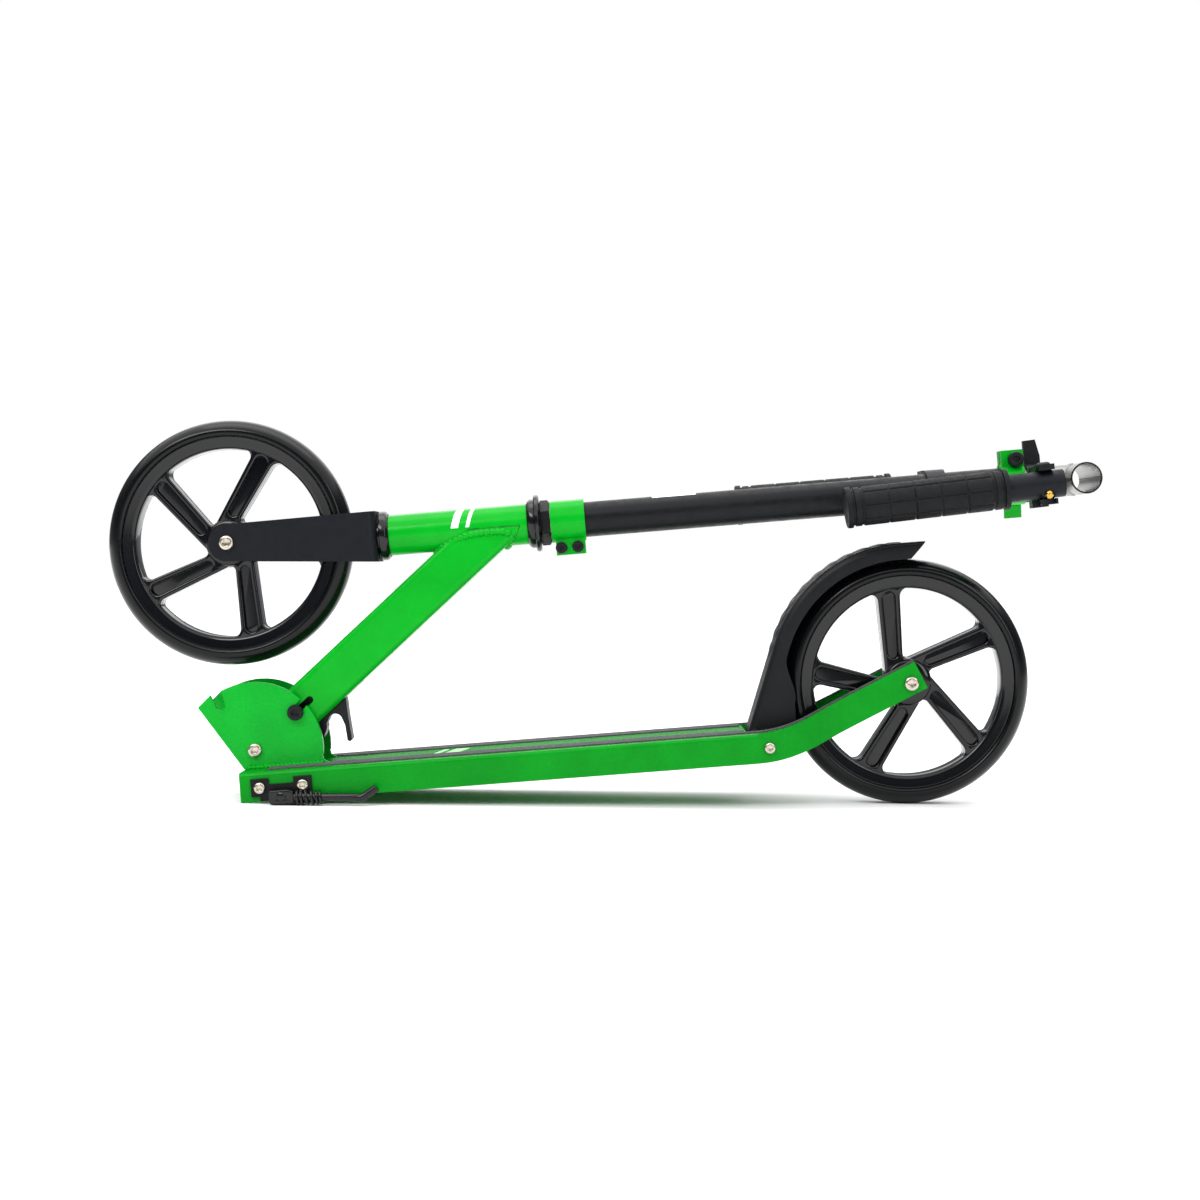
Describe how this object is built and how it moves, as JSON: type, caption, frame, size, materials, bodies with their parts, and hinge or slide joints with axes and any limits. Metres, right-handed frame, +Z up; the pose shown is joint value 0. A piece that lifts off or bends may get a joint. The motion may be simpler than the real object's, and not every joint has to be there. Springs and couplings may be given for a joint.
{
  "type": "kick scooter",
  "caption": "Folding kick scooter with a flat deck, large wheels, a brake fender, a side stand and a height-adjustable stem with stowed grips, shown folded.",
  "frame": {"origin": "on the floor under the middle of the folded scooter, in its mid-plane", "axes": "+X towards the rear wheel, +Y to the rider's right, +Z up"},
  "size_m": [0.8031, 0.1322, 0.3065],
  "materials": {
    "green_paint": "gloss",
    "black_paint": "satin",
    "black_gloss": "gloss",
    "black_plastic": "satin",
    "black_rubber": "matt",
    "tyre_rubber": "gloss",
    "zinc_steel": "satin",
    "silver_alloy": "satin",
    "grit_tape": "rough",
    "brass_button": "polished",
    "white_nylon": "satin"
  },
  "bodies": {
    "chassis": {"deck": "green_paint", "hinge_plates": "green_paint", "grip_tape": "grit_tape", "hinge_bolt": "zinc_steel", "rear_axle_bolt": "zinc_steel", "rear_spacers": "zinc_steel", "fender_bolt": "zinc_steel", "fender_spring": "zinc_steel", "stand_bracket": "black_paint", "stand_bolts": "zinc_steel", "stand_rivet": "black_paint"},
    "brake_fender": {"fender": "black_plastic"},
    "kickstand": {"stand_block": "black_paint", "stand_leg": "black_paint", "stand_spring": "black_paint"},
    "stem": {"down_tube": "green_paint", "head_tube": "green_paint", "headset_cups": "black_gloss", "hinge_bushes": "white_nylon", "latch_spring": "zinc_steel"},
    "fold_latch": {"lock_pin": "zinc_steel", "pin_heads": "black_plastic", "release_trigger": "black_plastic"},
    "steering": {"fork": "black_paint", "crown_race": "black_gloss", "steerer": "zinc_steel", "headset_bearings": "zinc_steel", "dust_washer": "black_paint", "lock_nut": "black_paint", "stem_clamp": "green_paint", "clamp_screws": "black_plastic", "lower_tube": "black_paint", "tube_bush": "black_plastic", "clamp_collar": "green_paint", "clamp_bolt": "black_plastic", "lever_pin": "zinc_steel", "far_clip": "black_plastic", "front_axle_bolt": "zinc_steel", "front_spacers": "zinc_steel"},
    "height_lever": {"clamp_lever": "green_paint"},
    "handlebar": {"upright_tube": "silver_alloy", "cross_tube": "silver_alloy", "near_clip": "black_plastic"},
    "left_handle": {"near_grip": "black_rubber", "near_grip_tube": "black_paint"},
    "left_button": {"near_button": "brass_button"},
    "right_handle": {"far_grip": "black_rubber", "far_grip_tube": "black_paint"},
    "right_button": {"far_button": "brass_button"},
    "front_wheel": {"front_tyre": "tyre_rubber", "front_rim": "black_gloss", "front_bearings": "zinc_steel", "front_sleeve": "zinc_steel"},
    "rear_wheel": {"rear_tyre": "tyre_rubber", "rear_rim": "black_gloss", "rear_bearings": "zinc_steel", "rear_sleeve": "zinc_steel"}
  },
  "joints": [
    {"name": "fold", "type": "hinge", "parent": "chassis", "child": "stem", "pos_m": [-0.277, 0, 0.03904], "axis": [0, -1, 0], "range_deg": [0, 82]},
    {"name": "latch_release", "type": "slide", "parent": "stem", "child": "fold_latch", "axis": [0.7219, 0, 0.692], "range_m": [0, 0.013], "stiffness_N_per_m": 600, "springref_m": -0.012, "deforming": ["latch_spring"]},
    {"name": "steer", "type": "hinge", "parent": "stem", "child": "steering", "pos_m": [-0.11323, 0, 0.21971], "axis": [0.9956, 0, 0.0938], "range_deg": [-15, 15]},
    {"name": "handlebar_height", "type": "slide", "parent": "steering", "child": "handlebar", "axis": [0.9956, 0, 0.0938], "range_m": [0, 0.2]},
    {"name": "clamp_lever_swing", "type": "hinge", "parent": "steering", "child": "height_lever", "pos_m": [0.33689, 0.0135, 0.28223], "axis": [0.9956, 0, 0.0938], "range_deg": [0, 100]},
    {"name": "left_handle_unclip", "type": "slide", "parent": "handlebar", "child": "left_handle", "axis": [0, -1, 0], "range_m": [0, 0.06]},
    {"name": "left_button_press", "type": "slide", "parent": "left_handle", "child": "left_button", "axis": [-0.0877, 0.7314, 0.6763], "range_m": [0, 0.0025], "stiffness_N_per_m": 300, "springref_m": -0.002},
    {"name": "right_handle_unclip", "type": "slide", "parent": "steering", "child": "right_handle", "axis": [0, 1, 0], "range_m": [0, 0.06]},
    {"name": "right_button_press", "type": "slide", "parent": "right_handle", "child": "right_button", "axis": [-0.064, -0.7314, 0.679], "range_m": [0, 0.0025], "stiffness_N_per_m": 300, "springref_m": -0.002},
    {"name": "front_wheel_spin", "type": "hinge", "parent": "steering", "child": "front_wheel", "pos_m": [-0.30163, 0, 0.20657], "axis": [0, -1, 0], "continuous": true},
    {"name": "rear_wheel_spin", "type": "hinge", "parent": "chassis", "child": "rear_wheel", "pos_m": [0.25209, 0, 0.1], "axis": [0, -1, 0], "continuous": true},
    {"name": "fender_brake", "type": "hinge", "parent": "chassis", "child": "brake_fender", "pos_m": [0.13673, 0, 0.04904], "axis": [0, 1, 0], "range_deg": [0, 2.5], "stiffness_Nm_per_rad": 6, "springref_deg": -8.59},
    {"name": "kickstand_swing", "type": "hinge", "parent": "chassis", "child": "kickstand", "pos_m": [-0.24888, 0, 0.0072], "axis": [0, 1, 0], "range_deg": [0, 80]}
  ]
}
